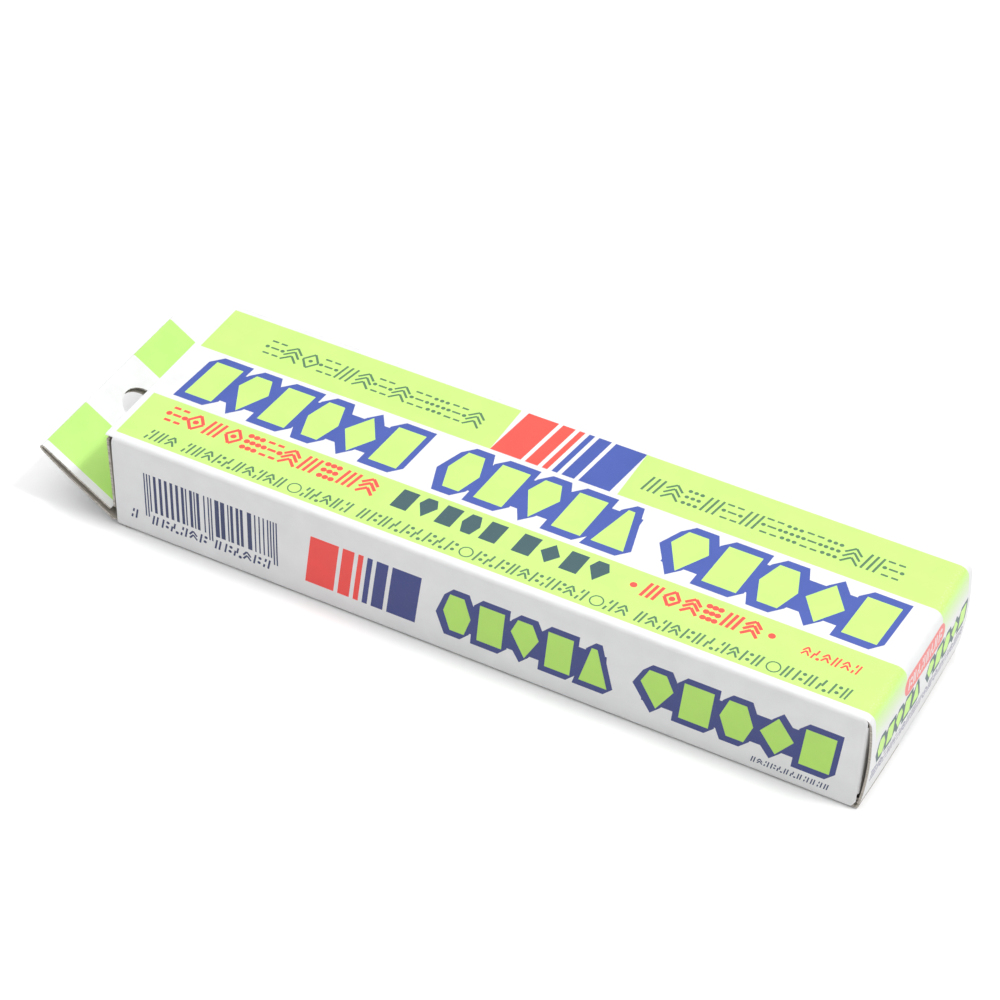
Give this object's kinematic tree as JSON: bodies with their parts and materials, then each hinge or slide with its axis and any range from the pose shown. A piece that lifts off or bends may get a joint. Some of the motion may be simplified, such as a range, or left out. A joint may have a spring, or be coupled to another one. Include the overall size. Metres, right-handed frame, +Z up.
{
  "type": "folding carton of modelling putty",
  "caption": "Long folding carton with a tuck lid, a tuck closure and a slanting two-ply hang tab, holding wrapped sticks of two-part modelling putty and a folded leaflet.",
  "frame": {"origin": "centre of the carton's resting face, half way between its two end scores", "axes": "+X along the carton towards the lid, +Y towards the far side panel, +Z up towards the main printed face"},
  "size_m": [0.1472, 0.04, 0.019],
  "materials": {
    "printed_board": "coated board, satin",
    "clear_film": "thin clear film",
    "base_putty": "soft putty, dull",
    "hardener_putty": "soft putty, dull",
    "leaflet_paper": "uncoated paper"
  },
  "bodies": {
    "root": {"top_panel": "printed_board", "near_side_panel": "printed_board", "far_side_panel": "printed_board", "bottom_panel": "printed_board", "glue_seam_flap": "printed_board", "putty_stick_base": "base_putty", "film_wrapper_base": "clear_film", "putty_stick_hardener": "hardener_putty", "film_wrapper_hardener": "clear_film", "instruction_leaflet": "leaflet_paper"},
    "lid": {"lid_panel": "printed_board"},
    "lid_tuck": {"lid_tuck_flap": "printed_board"},
    "tail_closure": {"tail_closure_panel": "printed_board"},
    "tail_tuck": {"tail_tuck_flap": "printed_board"},
    "lid_dust_near": {"lid_dust_flap_near": "printed_board"},
    "lid_dust_far": {"lid_dust_flap_far": "printed_board"},
    "tail_dust_near": {"tail_dust_flap_near": "printed_board"},
    "tail_dust_far": {"tail_dust_flap_far": "printed_board"},
    "hang_tab": {"hang_tab_outer_ply": "printed_board", "hang_tab_inner_ply": "printed_board"}
  },
  "joints": [
    {"name": "lid_fold", "type": "hinge", "parent": "root", "child": "lid", "pos_m": [0.06619, 0, 0.01847], "axis": [0, -1, 0], "range_deg": [0, 130]},
    {"name": "lid_tuck_fold", "type": "hinge", "parent": "lid", "child": "lid_tuck", "pos_m": [0.06612, 0, 0.00146], "axis": [0, -1, 0], "range_deg": [-20, 0]},
    {"name": "lid_dust_fold_near", "type": "hinge", "parent": "root", "child": "lid_dust_near", "pos_m": [0.06577, -0.01977, 0.0095], "axis": [0, 0, -1], "range_deg": [0, 53]},
    {"name": "lid_dust_fold_far", "type": "hinge", "parent": "root", "child": "lid_dust_far", "pos_m": [0.06577, 0.01977, 0.0095], "axis": [0, 0, 1], "range_deg": [0, 53]},
    {"name": "tail_fold", "type": "hinge", "parent": "root", "child": "tail_closure", "pos_m": [-0.06662, 0, 0.00337], "axis": [0, -1, 0], "range_deg": [0, 48]},
    {"name": "tail_tuck_fold", "type": "hinge", "parent": "tail_closure", "child": "tail_tuck", "pos_m": [-0.06636, 0, 0.01794], "axis": [0, -1, 0], "range_deg": [-15, 0]},
    {"name": "tail_dust_fold_near", "type": "hinge", "parent": "root", "child": "tail_dust_near", "pos_m": [-0.06577, -0.01977, 0.0095], "axis": [0, 0, 1], "range_deg": [0, 14]},
    {"name": "tail_dust_fold_far", "type": "hinge", "parent": "root", "child": "tail_dust_far", "pos_m": [-0.06577, 0.01977, 0.0095], "axis": [0, 0, -1], "range_deg": [0, 14]},
    {"name": "hang_tab_fold", "type": "hinge", "parent": "root", "child": "hang_tab", "pos_m": [-0.06601, 0, 0.00013], "axis": [0, -1, 0], "range_deg": [0, 35]}
  ],
  "couplings": [
    {"joint": "lid_tuck_fold", "follows": "lid_fold", "ratio": -0.15},
    {"joint": "lid_dust_fold_near", "follows": "lid_fold", "ratio": 0.4},
    {"joint": "lid_dust_fold_far", "follows": "lid_fold", "ratio": 0.4},
    {"joint": "tail_tuck_fold", "follows": "tail_fold", "ratio": -0.3},
    {"joint": "tail_dust_fold_near", "follows": "tail_fold", "ratio": 0.27},
    {"joint": "tail_dust_fold_far", "follows": "tail_fold", "ratio": 0.27}
  ]
}
